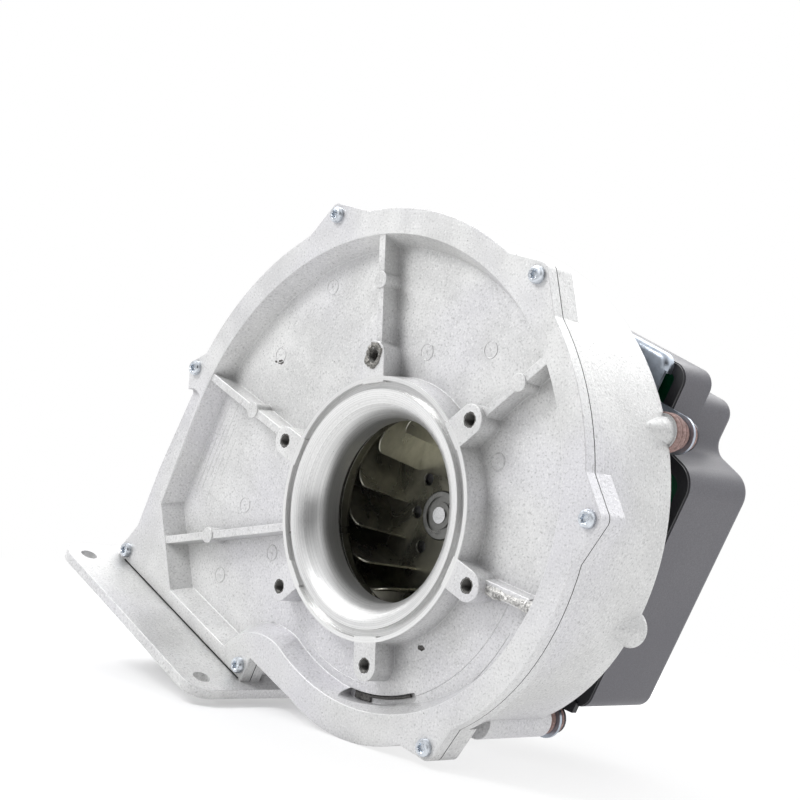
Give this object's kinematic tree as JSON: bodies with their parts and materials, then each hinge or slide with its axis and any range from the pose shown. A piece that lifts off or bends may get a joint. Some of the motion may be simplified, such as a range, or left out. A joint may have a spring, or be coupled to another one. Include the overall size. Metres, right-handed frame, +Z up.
{
  "type": "centrifugal fan",
  "caption": "Premix centrifugal blower with a die-cast volute, square outlet flange, bell-mouth intake with tapped bosses, and a direct-drive motor under a plastic electronics cover.",
  "frame": {"origin": "centre of the intake land and of its six tapped bosses, on the shaft axis", "axes": "+Y along the shaft from the intake into the fan towards the motor, +Z up, +X to the right as seen from the intake; the outlet leaves down and to the left, 21 degrees from straight down"},
  "size_m": [0.3381, 0.164, 0.2498],
  "materials": {
    "cast_aluminium": "satin",
    "zinc_steel": "zinc plated, satin",
    "dark_steel": "dark coated sheet, satin",
    "bearing_steel": "ground",
    "plate_steel": "zinc plated sheet",
    "isolator_rubber": "matt",
    "gasket": "matt",
    "felt": "felt",
    "cover_plastic": "fine grained",
    "black_plastic": "matt",
    "board_green": "solder mask",
    "laminations": "stacked sheet",
    "copper": "enamelled wire",
    "magnet": "ground",
    "motor_shell": "drawn",
    "tinned_pins": "tinned",
    "ferrite": "matt",
    "can_sleeve": "shrunk sleeve"
  },
  "bodies": {
    "housing": {"front_cover": "cast_aluminium", "rear_casing": "cast_aluminium", "casing_gasket": "gasket", "cover_screws": "zinc_steel", "shaft_seal": "felt", "seal_plate": "zinc_steel", "seal_plate_screws": "zinc_steel", "front_bearing_outer_ring": "bearing_steel", "rear_bearing_outer_ring": "bearing_steel", "wave_washer": "bearing_steel", "end_shield": "cast_aluminium", "shield_screws": "zinc_steel", "motor_housing": "motor_shell", "stator_core": "laminations", "stator_windings": "copper", "motor_plate": "plate_steel", "rubber_isolators": "isolator_rubber", "isolator_sleeves": "zinc_steel", "isolator_washers": "zinc_steel", "isolator_screws": "zinc_steel", "electronics_cover": "cover_plastic", "circuit_board": "board_green", "board_frame": "black_plastic", "board_spacers": "zinc_steel", "electronics_cover_screws": "zinc_steel", "connector_block": "black_plastic", "connector_pins": "tinned_pins", "capacitors": "can_sleeve", "choke": "ferrite", "heat_sink": "cast_aluminium", "power_transistors": "black_plastic"},
    "rotor": {"impeller_blades": "dark_steel", "impeller_back_plate": "dark_steel", "impeller_front_ring": "dark_steel", "impeller_hub": "dark_steel", "hub_clamp_ring": "zinc_steel", "shaft": "bearing_steel", "front_bearing_inner_ring": "bearing_steel", "rear_bearing_inner_ring": "bearing_steel", "retaining_ring": "bearing_steel", "rotor_core": "laminations", "rotor_magnets": "magnet"},
    "front_ball_set": {"front_bearing_balls": "bearing_steel", "front_bearing_cage": "zinc_steel"},
    "rear_ball_set": {"rear_bearing_balls": "bearing_steel", "rear_bearing_cage": "zinc_steel"}
  },
  "joints": [
    {"name": "rotor_spin", "type": "hinge", "parent": "housing", "child": "rotor", "pos_m": [0, 0, 0], "axis": [0, 1, 0], "continuous": true},
    {"name": "front_cage_spin", "type": "hinge", "parent": "housing", "child": "front_ball_set", "pos_m": [0, 0.0835, 0], "axis": [0, 1, 0], "continuous": true},
    {"name": "rear_cage_spin", "type": "hinge", "parent": "housing", "child": "rear_ball_set", "pos_m": [0, 0.112, 0], "axis": [0, 1, 0], "continuous": true}
  ],
  "couplings": [
    {"joint": "front_cage_spin", "follows": "rotor_spin", "ratio": 0.3689},
    {"joint": "rear_cage_spin", "follows": "rotor_spin", "ratio": 0.3689}
  ]
}
